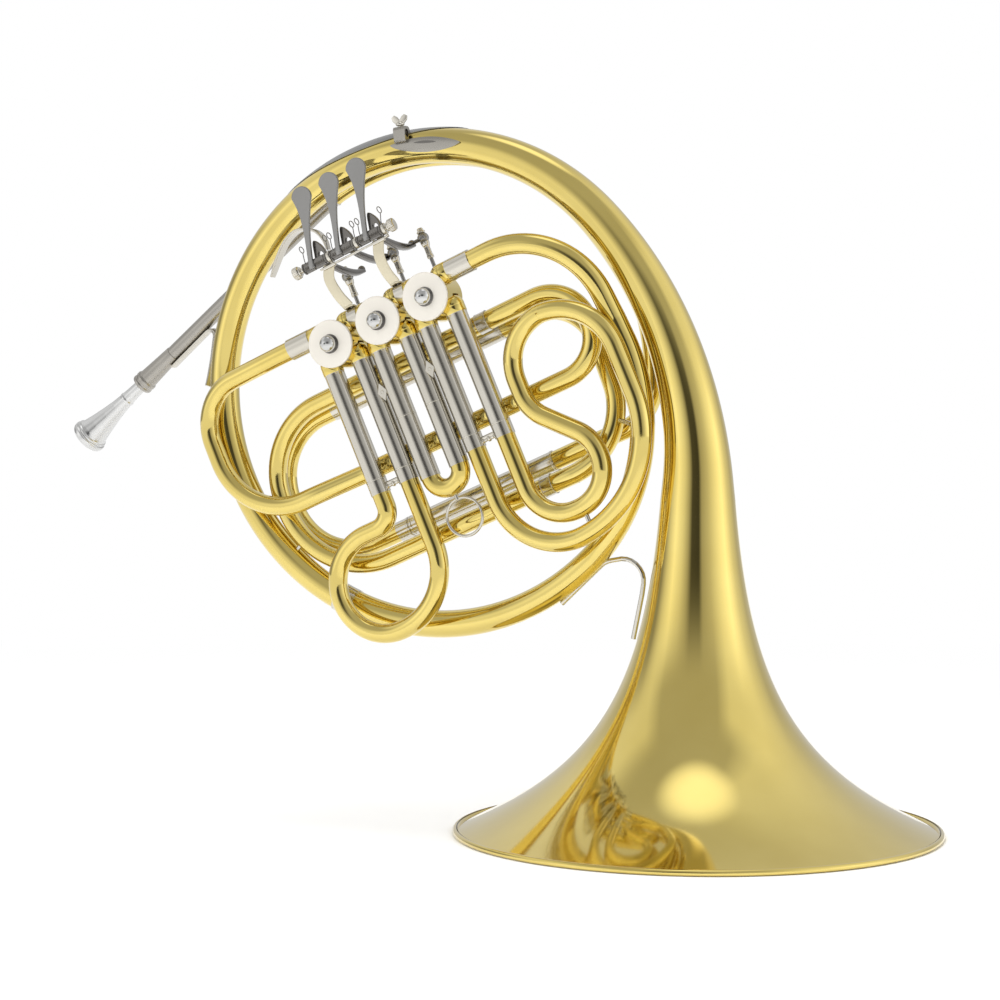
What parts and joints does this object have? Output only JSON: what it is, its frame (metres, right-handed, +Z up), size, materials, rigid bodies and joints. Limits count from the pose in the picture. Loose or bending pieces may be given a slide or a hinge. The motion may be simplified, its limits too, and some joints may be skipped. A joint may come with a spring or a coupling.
{
  "type": "french horn",
  "caption": "Single French horn standing on its bell: coiled brass tubing, rotary valves with lever linkages, pull-out slides and a removable mouthpiece.",
  "frame": {"origin": "centre of the bell rim, on the plane the bell stands on", "axes": "+Z up along the bell's axis, -Y towards the valve caps, -X towards the mouthpiece"},
  "size_m": [0.6238, 0.3096, 0.4633],
  "materials": {
    "brass": "lacquered, polished",
    "nickel_silver": "polished nickel silver",
    "silver_plate": "bright silver plate",
    "cap_plate": "satin silver plate with a polished knob",
    "steel": "satin nickel plate",
    "bumper": "matt neoprene"
  },
  "bodies": {
    "horn": {"bell_flare": "brass", "bell_rim_wire": "steel", "bell_tail": "brass", "bell_tail_ferrule": "nickel_silver", "lower_branch": "brass", "outlet_ferrule": "nickel_silver", "inlet_ferrule": "nickel_silver", "inlet_loop": "brass", "coil_bow": "brass", "coil_ferrules": "nickel_silver", "coil_return": "brass", "tuning_sleeves": "nickel_silver", "leadpipe": "nickel_silver", "receiver": "nickel_silver", "receiver_brace": "nickel_silver", "valve_casing_1": "brass", "valve_casing_2": "brass", "valve_casing_3": "brass", "valve_cap_1": "cap_plate", "valve_cap_2": "cap_plate", "valve_cap_3": "cap_plate", "bearing_plates": "nickel_silver", "link_ferrules": "nickel_silver", "slide_sleeves_1": "nickel_silver", "slide_sleeves_2": "nickel_silver", "slide_sleeves_3": "nickel_silver", "stop_plates": "nickel_silver", "stop_bumpers": "bumper", "lever_saddles": "nickel_silver", "hinge_rod": "steel", "lever_springs": "steel", "finger_hook": "nickel_silver", "hand_guard": "nickel_silver", "lyre_holder": "nickel_silver", "bell_brace": "nickel_silver", "coil_stays": "nickel_silver"},
    "rotor_1": {"rotor_1": "brass", "stop_arm_1": "nickel_silver"},
    "rotor_2": {"rotor_2": "brass", "stop_arm_2": "nickel_silver"},
    "rotor_3": {"rotor_3": "brass", "stop_arm_3": "nickel_silver"},
    "lever_1": {"lever_1": "steel"},
    "lever_2": {"lever_2": "steel"},
    "lever_3": {"lever_3": "steel"},
    "link_rod_1": {"link_rod_1": "steel"},
    "link_rod_2": {"link_rod_2": "steel"},
    "link_rod_3": {"link_rod_3": "steel"},
    "valve_slide_1": {"slide_legs_1": "nickel_silver", "crook_1": "brass"},
    "valve_slide_2": {"slide_legs_2": "nickel_silver", "crook_2": "brass", "pull_ring": "nickel_silver"},
    "valve_slide_3": {"slide_legs_3": "nickel_silver", "crook_3": "brass", "crook_3_stay": "nickel_silver"},
    "tuning_slide": {"tuning_legs": "nickel_silver", "tuning_bow": "brass"},
    "mouthpiece": {"mouthpiece": "silver_plate"},
    "lyre_screw": {"lyre_screw": "nickel_silver"}
  },
  "joints": [
    {"name": "lever_1_press", "type": "hinge", "parent": "horn", "child": "lever_1", "pos_m": [-0.23089, -0.038, 0.37045], "axis": [-0.9171, 0, -0.3987], "range_deg": [0, 14.5], "stiffness_Nm_per_rad": 0.25, "springref_deg": -11.46},
    {"name": "link_rod_1_swing", "type": "hinge", "parent": "lever_1", "child": "link_rod_1", "pos_m": [-0.22929, 0.014, 0.36678], "axis": [-0.9171, 0, -0.3987], "range_deg": [-18, 0]},
    {"name": "rotor_1_turn", "type": "hinge", "parent": "horn", "child": "rotor_1", "pos_m": [-0.2395, -0.025, 0.31], "axis": [0, 1, 0], "range_deg": [0, 90]},
    {"name": "lever_2_press", "type": "hinge", "parent": "horn", "child": "lever_2", "pos_m": [-0.23089, -0.038, 0.37045], "axis": [-0.9171, 0, -0.3987], "range_deg": [0, 14.5], "stiffness_Nm_per_rad": 0.25, "springref_deg": -11.46},
    {"name": "link_rod_2_swing", "type": "hinge", "parent": "lever_2", "child": "link_rod_2", "pos_m": [-0.22929, 0.014, 0.36678], "axis": [-0.9171, 0, -0.3987], "range_deg": [-18, 0]},
    {"name": "rotor_2_turn", "type": "hinge", "parent": "horn", "child": "rotor_2", "pos_m": [-0.20557, -0.025, 0.32475], "axis": [0, 1, 0], "range_deg": [0, 90]},
    {"name": "lever_3_press", "type": "hinge", "parent": "horn", "child": "lever_3", "pos_m": [-0.23089, -0.038, 0.37045], "axis": [-0.9171, 0, -0.3987], "range_deg": [0, 14.5], "stiffness_Nm_per_rad": 0.25, "springref_deg": -11.46},
    {"name": "link_rod_3_swing", "type": "hinge", "parent": "lever_3", "child": "link_rod_3", "pos_m": [-0.22929, 0.014, 0.36678], "axis": [-0.9171, 0, -0.3987], "range_deg": [-18, 0]},
    {"name": "rotor_3_turn", "type": "hinge", "parent": "horn", "child": "rotor_3", "pos_m": [-0.17164, -0.025, 0.33951], "axis": [0, 1, 0], "range_deg": [-90, 0]},
    {"name": "valve_slide_1_pull", "type": "slide", "parent": "horn", "child": "valve_slide_1", "axis": [0.3987, 0, -0.9171], "range_m": [0, 0.04]},
    {"name": "valve_slide_2_pull", "type": "slide", "parent": "horn", "child": "valve_slide_2", "axis": [0.3987, 0, -0.9171], "range_m": [0, 0.025]},
    {"name": "valve_slide_3_pull", "type": "slide", "parent": "horn", "child": "valve_slide_3", "axis": [0.3987, 0, -0.9171], "range_m": [0, 0.02]},
    {"name": "tuning_slide_pull", "type": "slide", "parent": "horn", "child": "tuning_slide", "axis": [-0.9171, 0, -0.3987], "range_m": [0, 0.03]},
    {"name": "mouthpiece_pull", "type": "slide", "parent": "horn", "child": "mouthpiece", "axis": [-0.766, 0, -0.6428], "range_m": [0, 0.03]},
    {"name": "lyre_screw_turn", "type": "slide", "parent": "horn", "child": "lyre_screw", "axis": [-0.1132, 0, 0.9936], "range_m": [0, 0.004]}
  ],
  "couplings": [
    {"joint": "link_rod_1_swing", "follows": "lever_1_press", "ratio": -1.22},
    {"joint": "rotor_1_turn", "follows": "lever_1_press", "ratio": 6.2069},
    {"joint": "link_rod_2_swing", "follows": "lever_2_press", "ratio": -1.22},
    {"joint": "rotor_2_turn", "follows": "lever_2_press", "ratio": 6.2069},
    {"joint": "link_rod_3_swing", "follows": "lever_3_press", "ratio": -1.22},
    {"joint": "rotor_3_turn", "follows": "lever_3_press", "ratio": -6.2069}
  ]
}
